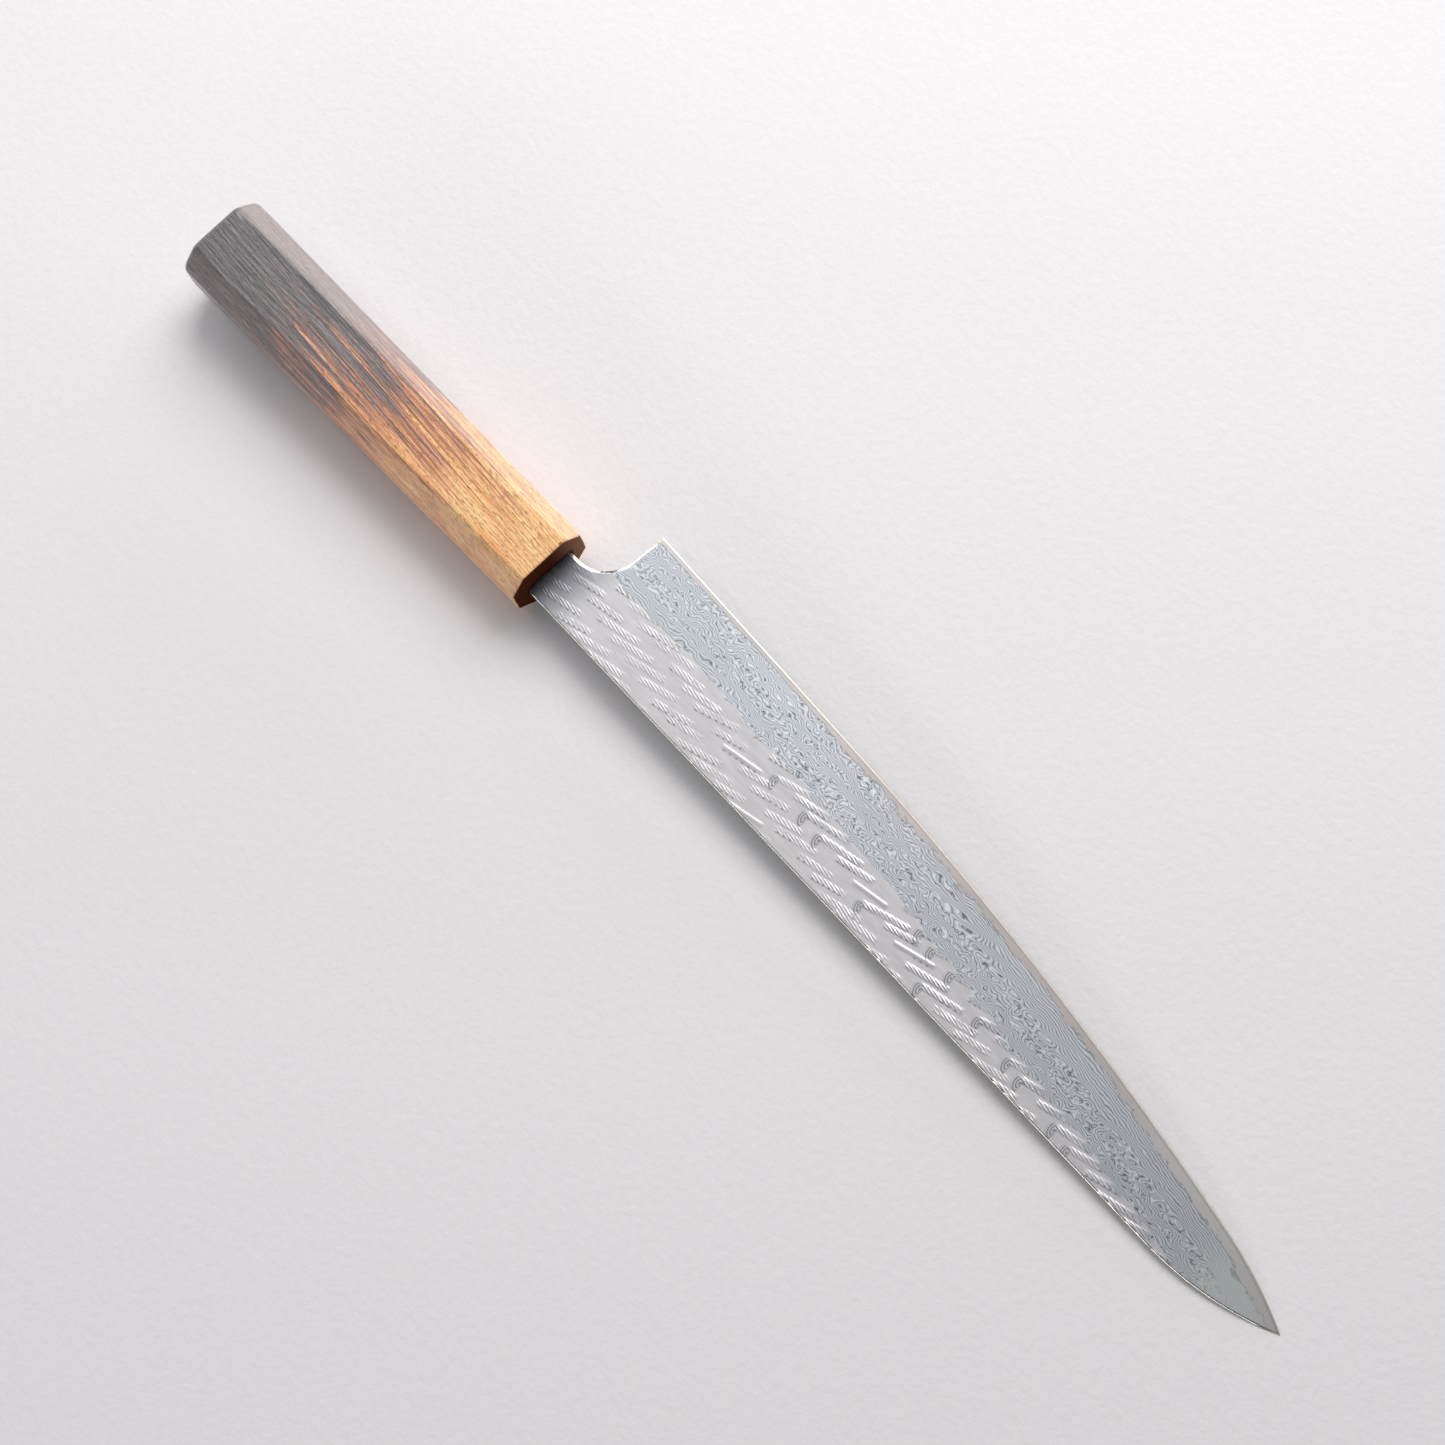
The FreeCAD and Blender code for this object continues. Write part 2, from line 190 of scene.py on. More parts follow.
def hammer_relief(along, up, seed):
    """Height of the hammered face, how its blows bend the layers, dark stains and cut rings.

    The face carries chains of rope-like marks, each a row of short ribs. Further along the blade
    the marks beside the grind line are bolder, and some of them are one smooth ridge.
    """
    chance = np.random.default_rng(seed)
    height = 0.01 * rough_noise(along / 9, up / 5, seed, 2)
    bend, stain, rings = np.zeros(len(along)), np.zeros(len(along)), np.full(len(along), 2.0)
    for chain in range(-4, 9):
        for step in range(-8, 52):
            x = 8 + step * CHAIN_STEP[0] + chain * NEXT_CHAIN[0] + chance.normal(0, 0.45)
            y = 14 + step * CHAIN_STEP[1] + chain * NEXT_CHAIN[1] + chance.normal(0, 0.3)
            angle = MARK_ANGLE + chance.normal(0, 0.035)
            length = MARK_LENGTH * chance.uniform(0.8, 1.1)
            strength, phase, luck = chance.uniform(0.7, 1.15), chance.uniform(), chance.uniform()
            below = float(grind_height(x)) - y
            if not (-8 < x < 262 and -16 < y and below > -11):
                continue
            bold = x > BOLD_FROM and below < BOLD_REACH
            smooth = luck > (0.84 if bold else 0.985)
            near = np.flatnonzero((np.abs(along - x) < 9.5) & (np.abs(up - y) < 5.5))
            rise, dent, spots, onion = one_mark(
                along[near] - x, up[near] - y, angle, length, phase, bold, smooth)
            height[near] += strength * float(mark_depth(x)) * rise
            bend[near] += strength * dent
            stain[near] = np.maximum(stain[near], spots)
            rings[near] = np.minimum(rings[near], onion)
    return height, bend, stain, rings


def mark_depth(x):
    """How high the marks stand, which grows towards the middle of the blade."""
    return 0.8 + 0.45 * smooth_step(85, 125, x) - 0.4 * smooth_step(195, 235, x)


def ridge(share, crest):
    """A ridge across 0 to 1 with its crest off the middle."""
    return np.where(share < crest, smooth_step(0, crest, share), 1 - smooth_step(crest, 1, share))


def one_mark(dx, dy, angle, length, phase, bold, smooth):
    """Height of one mark, its dent in the layers, its stains and the cut rings at its end."""
    along = dx * math.cos(angle) + dy * math.sin(angle)
    across = -dx * math.sin(angle) + dy * math.cos(angle)
    ends = 1 - smooth_step(0.8, 1.0, np.abs(along) / (length / 2))
    sides = 1 - smooth_step(0.62, 1.0, np.abs(across) / (MARK_WIDTH / 2))
    over = -dx * math.sin(RIB_ANGLE) + dy * math.cos(RIB_ANGLE)
    uneven = 0.75 + 0.45 * lattice_noise(along / 1.8 + 90 * phase, across / 1.3, 7)
    ribs = ends * sides * ridge(np.mod(over / RIB_PITCH + phase, 1), 0.3) * RIB_HIGH * uneven
    body = ends * ridge(across / 1.9 + 0.5, 0.66) * RIB_HIGH
    rise = ribs
    if smooth:
        rise = body * 1.05
    elif bold:
        rise = ribs * 1.2 + body * 0.45
    dent = -0.09 * np.exp(-(along / (0.36 * length)) ** 2 - (across / 1.1) ** 2)
    place = np.floor((along / length + 0.5) * 7)
    spot_along = along - ((place + 0.8) / 7 - 0.5) * length
    chosen = np.sin(place * 12.9 + phase * 40) > 0.35
    spots = chosen * ends * np.exp(-(spot_along / 0.4) ** 2 - ((across + 0.7) / 0.24) ** 2)
    onion = np.full(len(dx), 2.0)
    if bold and not smooth and math.sin(phase * 90) > 0:
        past = along + 0.43 * length
        onion = np.hypot(past / 2.0, (across + 1.2) / 2.9)
        onion = onion + 2 * smooth_step(-0.3, 1.4, past) + 2 * smooth_step(0, 1.4, across)
    return rise, dent, spots, np.minimum(onion, 2)


# ---------------------------------------------------------------- blade

ROWS = 220
COLUMN_STEP = 0.42
SPINE_EASE, CHOIL_EASE = 0.42, 1.0
SPINE_SLOPE, CHOIL_SLOPE = 0.62, 0.45
ROUNDING_ROWS = np.array([0, 0.03, 0.08, 0.14, 0.25, 0.36, 0.45, 0.6])
BEVEL_ROWS = np.array([0, 0.06, 0.13, 0.22, 0.34])
POINT_LENGTH, POINT_COLUMNS, POINT_SHARE = 3, 22, 2.97
HEEL_FADE, GROUND_START, JOIN_BLEND = 9, 16, 0.03
EDGE_HALF, CORNER_RADIUS, FAR = 0.012, 0.14, 9.0
OUTLINE_END = 285.0


def row_places(rows, length, first, last):
    """Distances along a column of the given length, close together at its two ends."""
    squeeze = min(1.0, length / 6)
    first, last = first * squeeze, last * squeeze
    middle = np.linspace(first[-1], length - last[-1], rows - len(first) - len(last) + 2)
    return np.concatenate([first, middle[1:-1], length - last[::-1]])


def column_places():
    """Distances of the columns: tang, neck, choil curve and blade."""
    tang = np.linspace(-TANG_LENGTH, -SHOULDER_DEPTH - 0.3, 40)
    neck = np.linspace(-SHOULDER_DEPTH, CHOIL[0] - CHOIL_RADIUS, 24)
    bend = CHOIL[0] - CHOIL_RADIUS + CHOIL_RADIUS * np.sin(np.linspace(0, math.pi / 2, 45)[1:])
    start = CHOIL[0] + ROUNDING_ROWS[1:]
    point_start = TIP[0] - POINT_LENGTH
    count = round((point_start - start[-1]) / COLUMN_STEP)
    blade = np.linspace(start[-1], point_start, count)[1:]
    point = point_start + np.linspace(0, 1, POINT_COLUMNS)[1:] * POINT_SHARE
    return np.concatenate([tang, neck, bend]), np.concatenate([start, blade, point])


def blade_grid():
    """Plan places of the blade's grid, as columns of rows, and how many rows the neck has."""
    before, after = column_places()
    share = (CHOIL[1] - NECK_SPINE) / (HEEL[1] - NECK_SPINE)
    neck_rows = round(ROWS * share)
    columns = []
    for x in before:
        if x < -SHOULDER_DEPTH - 0.1:
            half = np.interp(x, [-TANG_LENGTH, -SHOULDER_DEPTH], [TANG_END / 2, TANG_ROOT / 2])
            low, high = -half, half
        else:
            low, high = float(spine_height(x)), float(neck_height(x))
        up = low + row_places(neck_rows + 1, high - low, ROUNDING_ROWS, ROUNDING_ROWS)
        columns.append(np.c_[np.full(len(up), x), up])
    low = columns[-1][:, 1]
    length = HEEL[1] - CHOIL[1]
    rest = CHOIL[1] + row_places(ROWS - neck_rows + 1, length, ROUNDING_ROWS, BEVEL_ROWS)[1:]
    heel_column = np.concatenate([low, rest])
    heel_share = (heel_column - heel_column[0]) / (heel_column[-1] - heel_column[0])
    slant = np.clip((heel_column - CHOIL[1]) / length, 0, 1) * (HEEL[0] - CHOIL[0])
    main = [np.c_[CHOIL[0] + slant, heel_column]]
    for x in after:
        fade = 1 - float(smooth_step(CHOIL[0], CHOIL[0] + HEEL_FADE, x))
        along = x + slant * fade
        low, high = spine_height(along), edge_height(along)
        even = row_places(ROWS + 1, float(high[-1] - low[0]), ROUNDING_ROWS, BEVEL_ROWS)
        share = heel_share * fade + even / even[-1] * (1 - fade)
        main.append(np.c_[along, low + (high - low) * share])
    return columns[:-1], main, neck_rows


def blade_faces(along, up, seed):
    """Half thickness and the values the steel's paint reads, for one side of the blade."""
    taper = np.clip((along - HEEL[0]) / (TIP[0] - HEEL[0]), 0, 1)
    full = (HEEL_THICK - (HEEL_THICK - TIP_THICK) * taper) / 2
    relief, bend, stain, rings = hammer_relief(along, up, seed)
    forged = full + relief
    edge, grind = edge_height(along), grind_height(along)
    drop = full - LAND_THICK / 2
    ground = LAND_THICK / 2 + (edge - up) * drop / (edge - grind)
    ground = ground + 0.008 * lattice_noise(along / 14, up / 9, seed + 9)
    ground = np.where(along > HEEL[0] - GROUND_START, ground, FAR)
    blend = np.clip(0.5 + (forged - ground) / JOIN_BLEND, 0, 1)
    half = forged * (1 - blend) + ground * blend - JOIN_BLEND / 4 * blend * (1 - blend)
    layers = (full - half) / drop + bend
    stations = np.arange(0, OUTLINE_END)
    turn = np.interp(along, stations, np.gradient(edge_height(stations)))
    edge_gap = (edge - up) / np.sqrt(1 + turn ** 2)
    edge_gap = np.where(along > CHOIL[0] - 0.01, edge_gap, 30.0)
    tang = along < -SHOULDER_DEPTH - 0.1
    spine_gap = np.where(tang, FAR, up - spine_height(along))
    back_gap = np.where(tang, FAR, choil_gap(along, up))
    half = eased(eased(half, spine_gap, SPINE_EASE, SPINE_SLOPE), back_gap, CHOIL_EASE, CHOIL_SLOPE)
    bevel = EDGE_HALF + edge_gap * (LAND_THICK / 2 - EDGE_HALF) / bevel_width(along)
    half = np.minimum(half, np.where(edge_gap < 3, bevel, FAR))
    rim = 1 - np.clip(np.minimum(spine_gap / SPINE_EASE, back_gap / CHOIL_EASE), 0, 1)
    values = {
        "layers": layers, "ground": blend, "edge_gap": edge_gap, "stain": stain, "rim": rim,
        "rings": rings}
    return np.clip(half, 0.008, None), values


def bevel_width(along):
    """Width of the sharpening bevel, which narrows past the heel."""
    return 0.24 - 0.06 * smooth_step(60, 200, along)


def eased(half, gap, reach, slope):
    """Half thickness with a sloping facet along a rim and the rim itself rounded off."""
    facet = half - slope * np.clip(reach - gap, 0, reach)
    corner = np.clip(gap / CORNER_RADIUS, 0, 1)
    return facet * np.sqrt(1 - (1 - corner) ** 2)


def quads(grid):
    """Four corners of each cell of a grid of point numbers."""
    cells = np.stack([grid[:-1, :-1], grid[1:, :-1], grid[1:, 1:], grid[:-1, 1:]], axis=-1)
    return cells.reshape(-1, 4)


def build_blade():
    neck, main, neck_rows = blade_grid()
    plan = np.concatenate(neck + main)
    neck_grid = np.arange(len(neck) * (neck_rows + 1)).reshape(len(neck), neck_rows + 1)
    main_grid = neck_grid.size + np.arange(len(main) * (ROWS + 1)).reshape(len(main), ROWS + 1)
    neck_grid = np.concatenate([neck_grid, main_grid[:1, :neck_rows + 1]])
    rim = np.zeros(len(plan), bool)
    rim[neck_grid[:, 0]] = rim[neck_grid[1:-1, -1]] = rim[main_grid[:, 0]] = True
    rim[main_grid[:, -1]] = rim[main_grid[-1]] = rim[main_grid[0, neck_rows:]] = True
    rim[neck_grid[0]] = rim[neck_grid[0, -1]] = rim[neck_grid[:-1, -1]] = True
    upper, upper_values = blade_faces(plan[:, 0], plan[:, 1], 11)
    lower, lower_values = blade_faces(plan[:, 0], plan[:, 1], 47)
    upper[rim] = 0
    inner = np.flatnonzero(~rim)
    below = np.arange(len(plan))
    below[inner] = len(plan) + np.arange(len(inner))
    points = np.concatenate([np.c_[plan, upper], np.c_[plan[inner], -lower[inner]]])
    top = np.concatenate([quads(neck_grid), quads(main_grid)])
    bottom = below[top][:, ::-1]
    values = {
        key: np.concatenate([upper_values[key], lower_values[key][inner]]) for key in upper_values}
    blade = make_object("blade", points, [top, bottom], values)
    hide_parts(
        "core_steel", "damascus_upper", "damascus_lower", "face_steel_upper",
        "face_steel_lower",
    )
    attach(blade, "root")
    return blade


# ---------------------------------------------------------------- handle

RING_POINTS, RIDGE_SOFTNESS = 360, 0.5
BUTT_ROUND, BUTT_SOFTNESS = 2.2, 3.4
GRAIN_SLANT = 0.06
SLOT_HALF, SLOT_THICK, SLOT_DEPTH = NECK_TOP + CAVITY_GAP, 3.1, SHOULDER_DEPTH + CAVITY_GAP


def even_ring(corners, softness):
    """Points spaced evenly round a closed outline whose corners are softened."""
    corners = np.array(corners + corners[:1], float)
    lengths = np.hypot(*np.diff(corners, axis=0).T)
    marks = np.concatenate([[0], np.cumsum(lengths)])
    spread = np.linspace(-0.5, 0.5, 9) * softness
    spots = np.linspace(0, marks[-1], RING_POINTS, endpoint=False)
    ring = 0
    for shift in spread:
        at = np.mod(spots + shift, marks[-1])
        ring = ring + np.c_[np.interp(at, marks, corners[:, 0]), np.interp(at, marks, corners[:, 1])]
    return ring / len(spread)


def octagon(width, thick, bevel, softness):
    y, z = width / 2, thick / 2
    return even_ring(
        [(0, z), (y - bevel, z), (y, z - bevel), (y, bevel - z), (y - bevel, -z), (bevel - y, -z),
         (-y, bevel - z), (-y, z - bevel), (bevel - y, z)], softness)


def slot_ring(half_height, half_thick):
    y, z = half_height, half_thick
    return even_ring([(0, z), (y, z), (y, -z), (-y, -z), (-y, z)], 0.4)


def grain(along, ring, seed):
    """Relief of the wood: long shallow channels and short pores."""
    y, z = ring[:, 0], ring[:, 1]
    around = np.arctan2(z, y) * 13
    around = around + GRAIN_SLANT * along
    channels = lattice_noise(np.full(len(y), along / 24) + 0.2 * around, around / 0.8, seed)
    pores = lattice_noise(np.full(len(y), along / 3), around / 0.45, seed + 1)
    waves = lattice_noise(np.full(len(y), along / 30), around / 7, seed + 2)
    return 0.03 * channels - 0.09 * np.clip(pores - 0.3, 0, 1) + 0.025 * waves


def outward(ring):
    turn = np.roll(ring, -1, axis=0) - np.roll(ring, 1, axis=0)
    normal = np.c_[turn[:, 1], -turn[:, 0]]
    normal = normal / np.linalg.norm(normal, axis=1)[:, None]
    return normal * np.sign(np.sum(normal * ring, axis=1).mean())


def handle_rings():
    """Rings of (x, y, z) from the middle of the butt, along the wood and into the tang hole."""
    rings = []

    def side_ring(x, inset, wood):
        share = -x / HANDLE_LENGTH
        worn = float(smooth_step(-HANDLE_LENGTH + 8, -HANDLE_LENGTH + 0.5, x))
        ring = octagon(
            FRONT_WIDTH + (BUTT_WIDTH - FRONT_WIDTH) * share,
            FRONT_THICK + (BUTT_THICK - FRONT_THICK) * share,
            FRONT_BEVEL + (BUTT_BEVEL - FRONT_BEVEL) * share,
            RIDGE_SOFTNESS + (BUTT_SOFTNESS - RIDGE_SOFTNESS) * worn)
        lift = grain(x, ring, 5)[:, None] * wood - inset
        return ring + outward(ring) * lift

    butt = -HANDLE_LENGTH
    last = side_ring(butt, BUTT_ROUND, 0)
    for share in (0.03, 0.15, 0.3, 0.45, 0.6, 0.75, 0.88):
        flat = last * share
        saw = 0.05 * lattice_noise(flat[:, 0] / 0.7, flat[:, 1] / 4, 3)
        rings.append(np.c_[butt + 0.06 + saw, flat])
    for turn in np.linspace(0, math.pi / 2, 12)[:-1]:
        x = butt + BUTT_ROUND * (1 - math.cos(turn))
        ring = side_ring(x, BUTT_ROUND * (1 - math.sin(turn)), math.sin(turn))
        rings.append(np.c_[np.full(RING_POINTS, x), ring])
    for x in np.linspace(butt + BUTT_ROUND, -0.5, 330):
        rings.append(np.c_[np.full(RING_POINTS, x), side_ring(x, 0, 1)])
    rim = side_ring(-0.2, 0.05, 1)
    ragged = np.abs(rough_noise(rim[:, 0] / 0.8, rim[:, 1] / 0.8, 8, 2)) * 0.5
    rings.append(np.c_[-0.1 - ragged, rim])
    front, hole = side_ring(0, 0.3, 0.5), slot_ring(SLOT_HALF, SLOT_THICK / 2)
    for share in np.linspace(0, 1, 26):
        flat = front * (1 - share) + hole * share
        end_grain = 0.05 * rough_noise(flat[:, 0] / 0.5, flat[:, 1] / 0.5, 12, 2)
        rings.append(np.c_[-0.07 + end_grain - 0.12 * (share == 1), flat])
    tang_side = SLOT_THICK / 2
    for x, half in (
        (-0.5, SLOT_HALF), (-3.5, SLOT_HALF), (-SLOT_DEPTH + 0.05, SLOT_HALF),
        (-SLOT_DEPTH, TANG_ROOT / 2 + CAVITY_GAP), (-30, 4.4), (-65, 3.7),
        (-TANG_LENGTH - CAVITY_GAP, TANG_END / 2 + CAVITY_GAP),
        (-TANG_LENGTH - CAVITY_GAP, 0.3),
    ):
        ring = slot_ring(half, tang_side if half > 0.3 else 0.2)
        rings.append(np.c_[np.full(RING_POINTS, x), ring])
    return rings


def build_handle():
    rings = handle_rings()
    points = np.concatenate(rings)
    grid = np.arange(len(points)).reshape(len(rings), RING_POINTS)
    sides = quads(np.c_[grid, grid[:, :1]])
    middle = len(points) + np.arange(2)
    points = np.concatenate([points, [rings[0].mean(axis=0), rings[-1].mean(axis=0)]])
    first, last = grid[0], grid[-1]
    butt_cap = np.c_[np.full(RING_POINTS, middle[0]), np.roll(first, -1), first]
    hole_cap = np.c_[np.full(RING_POINTS, middle[1]), last, np.roll(last, -1)]
    caps = np.concatenate([butt_cap, hole_cap])
    handle = make_object("handle_wood", points, [sides[:, ::-1], caps[:, ::-1]])
    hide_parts("handle")
    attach(handle, "root")
    return handle


# ---------------------------------------------------------------- materials


def light_value(red, green, blue):
    """Linear colour of a displayed colour given from 0 to 255."""
    parts = (np.array([red, green, blue]) / 255 + 0.055) / 1.055
    return (*(float(part) for part in parts ** 2.4), 1.0)


class Paint:
    """A material and short ways of adding nodes to it."""

    def __init__(self, name):
        self.material = bpy.data.materials.new(name)
        self.material.use_nodes = True
        self.tree = self.material.node_tree
        self.surface = self.tree.nodes["Principled BSDF"]

    def node(self, kind, inputs, **settings):
        made = self.tree.nodes.new(kind)
        for key, value in settings.items():
            setattr(made, key, value)
        for key, value in inputs.items():
            self.feed(made.inputs[key], value)
        return made

    def feed(self, socket, value):
        if isinstance(value, bpy.types.NodeSocket):
            self.tree.links.new(value, socket)
        else:
            socket.default_value = value

    def calc(self, operation, *values):
        made = self.tree.nodes.new("ShaderNodeMath")
        made.operation = operation
        for socket, value in zip(made.inputs, values):
            self.feed(socket, value)
        return made.outputs[0]

    def number(self, name):
        return self.node("ShaderNodeAttribute", {}, attribute_name=name).outputs["Fac"]

    def place(self):
        return self.node("ShaderNodeAttribute", {}, attribute_name="place").outputs["Vector"]

    def split(self, vector):
        return self.node("ShaderNodeSeparateXYZ", {0: vector}).outputs

    def stretched(self, vector, scale):
        made = self.node("ShaderNodeVectorMath", {0: vector, 1: scale}, operation="MULTIPLY")
        return made.outputs[0]

    def noise(self, vector, scale, detail=2.0, rough=0.5, twist=0.0):
        made = self.node("ShaderNodeTexNoise", {
            "Vector": self.stretched(vector, scale), "Scale": 1.0, "Detail": detail,
            "Roughness": rough, "Distortion": twist})
        return made.outputs["Fac"]

    def ramp(self, value, low, high, start=0.0, end=1.0):
        made = self.node("ShaderNodeMapRange", {
            "Value": value, "From Min": low, "From Max": high, "To Min": start, "To Max": end},
            interpolation_type="SMOOTHSTEP")
        return made.outputs["Result"]

    def mix(self, share, first, second, blend="MIX"):
        made = self.tree.nodes.new("ShaderNodeMix")
        made.data_type = "RGBA"
        made.blend_type = blend
        for socket, value in zip((made.inputs[0], made.inputs[6], made.inputs[7]),
                                 (share, first, second)):
            self.feed(socket, value)
        return made.outputs[2]

    def bump(self, height, distance, strength=1.0):
        made = self.node("ShaderNodeBump", {
            "Height": height, "Distance": distance, "Strength": strength})
        self.feed(self.surface.inputs["Normal"], made.outputs["Normal"])

    def finish(self, colour, rough, metal=0.0):
        self.feed(self.surface.inputs["Base Color"], colour)
        self.feed(self.surface.inputs["Roughness"], rough)
        self.feed(self.surface.inputs["Metallic"], metal)
        return self.material


def layer_wave(paint, place, layers, edge_gap):
    """A wave from 0 to 1 that turns once for each layer of pattern-welded steel cut through."""
    along = paint.split(place)[0]
    calm = paint.calc("MULTIPLY", paint.ramp(along, 110, 160), paint.ramp(edge_gap, 8, 12, 1, 0))
    by_grind = paint.calc(
        "MULTIPLY", paint.ramp(layers, 0.14, 0.3, 0.8, 0), paint.ramp(along, 50, 80, 1, 0))
    calm = paint.calc("MAXIMUM", calm, by_grind)
    swirl = paint.noise(place, (0.10, 0.18, 0.0), 1.0, 0.5, 0.5)
    curl = paint.noise(place, (0.34, 0.52, 0.0), 1.0, 0.5, 0.4)
    swirl = paint.calc("MULTIPLY", swirl, paint.ramp(calm, 0, 1, 8.0, 4.0))
    curl = paint.calc("MULTIPLY", curl, paint.ramp(calm, 0, 1, 4.0, 1.2))
    count = paint.ramp(along, 60, 150, 18.0, 24.0)
    field = paint.calc("MULTIPLY_ADD", layers, count, paint.calc("ADD", swirl, curl))
    saw = paint.calc("FRACT", field)
    return paint.calc("ABSOLUTE", paint.calc("MULTIPLY_ADD", saw, 2.0, -1.0))


def core_reach(paint, place, along):
    """How far the hard core shows back from the edge, which wanders and widens to the tip."""
    width = paint.calc(
        "ADD", paint.ramp(along, 60, 130, 1.5, 2.3), paint.ramp(along, 200, 245, 0, 1.1))
    slow = paint.calc("SUBTRACT", paint.noise(place, (0.06, 0.0, 0.0), 1.0), 0.5)
    quick = paint.calc("SUBTRACT", paint.noise(place, (0.2, 0.5, 0.0), 2.0, 0.6, 0.5), 0.5)
    width = paint.calc("MULTIPLY_ADD", slow, paint.ramp(along, 60, 130, 0.7, 3.4), width)
    width = paint.calc("MULTIPLY_ADD", quick, paint.ramp(along, 60, 130, 0.7, 5.0), width)
    return paint.calc("MAXIMUM", width, 1.3)


def steel_paint():
    """Hammered face, layer pattern, bare core, sharpening bevel and polished rims."""
    paint = Paint("layered_steel")
    place = paint.place()
    along = paint.split(place)[0]
    edge_gap, ground = paint.number("edge_gap"), paint.number("ground")
    wave = layer_wave(paint, place, paint.number("layers"), edge_gap)
    forged = paint.mix(
        paint.noise(place, (0.12, 0.7, 0.0), 3.0),
        light_value(172, 169, 172), light_value(198, 195, 198))
    stain = paint.calc("MULTIPLY", paint.number("stain"), 0.85)
    forged = paint.mix(stain, forged, light_value(88, 90, 94))
    rings = paint.number("rings")
    turns = paint.calc("FRACT", paint.calc("MULTIPLY", rings, 2.9))
    turns = paint.calc("ABSOLUTE", paint.calc("SUBTRACT", turns, 0.5))
    cut = paint.calc(
        "MULTIPLY", paint.ramp(turns, 0.2, 0.36, 1.0, 0.0), paint.ramp(rings, 0.95, 1.3, 0.75, 0.0))
    forged = paint.mix(cut, forged, light_value(104, 106, 110))
    # Painted shade: the forged steel darkens over the first millimetres from the handle, standing in
    # for the dark end grain reflected there.
    forged = paint.mix(paint.ramp(along, 3, 17, 0.9, 0.0), forged, light_value(104, 107, 112))
    tone = paint.noise(place, (0.05, 0.2, 0.0), 3.0)
    between = paint.mix(tone, light_value(148, 151, 156), light_value(166, 168, 172))
    pale_lines = paint.ramp(wave, 0.68, 0.95)
    dark_lines = paint.ramp(wave, 0.04, 0.26, 1.0, 0.0)
    pattern = paint.mix(pale_lines, between, light_value(188, 190, 192))
    pattern = paint.mix(dark_lines, pattern, light_value(92, 96, 103))
    calm_tip = paint.ramp(along, 248, 270, 0.0, 0.75)
    pattern = paint.mix(calm_tip, pattern, light_value(176, 180, 179))
    pattern = paint.mix(paint.ramp(along, 20, 95, 0.3, 0.0), pattern, light_value(116, 120, 126))
    colour = paint.mix(paint.ramp(ground, 0.4, 0.7), forged, pattern)
    past_core = paint.calc("SUBTRACT", edge_gap, core_reach(paint, place, along))
    hard = paint.mix(
        paint.ramp(along, 190, 250), light_value(146, 138, 134), light_value(170, 170, 170))
    hard = paint.mix(paint.noise(place, (0.03, 0.6, 0.0), 3.0), hard, light_value(174, 168, 166))
    colour = paint.mix(paint.ramp(past_core, -0.12, 0.12, 1.0, 0.0), colour, hard)
    seam = paint.ramp(paint.calc("ABSOLUTE", past_core), 0.08, 0.26, 0.55, 0.0)
    colour = paint.mix(seam, colour, light_value(116, 118, 122))
    beside = paint.ramp(edge_gap, 0.5, 1.1, 0.6, 0.0)
    colour = paint.mix(beside, colour, light_value(140, 141, 142))
    bevel = paint.ramp(paint.calc("SUBTRACT", edge_gap, paint.ramp(along, 60, 200, 0.26, 0.2)),
                       -0.06, 0.02, 1.0, 0.0)
    whet = paint.mix(
        paint.ramp(along, 30, 110), light_value(232, 224, 212), light_value(178, 162, 140))
    colour = paint.mix(bevel, colour, whet)
    rim = paint.ramp(paint.number("rim"), 0.02, 0.2)
    colour = paint.mix(rim, colour, light_value(236, 229, 216))
    rough = paint.calc("MULTIPLY_ADD", dark_lines, 0.1, 0.34)
    rough = paint.calc("MULTIPLY_ADD", rim, -0.18, rough)
    rough = paint.calc("MULTIPLY_ADD", bevel, 0.15, rough)
    scratch = paint.noise(place, (1.2, 0.15, 0.0), 3.0)
    paint.bump(scratch, 0.00002, 0.25)
    return paint.finish(colour, rough, 1.0)


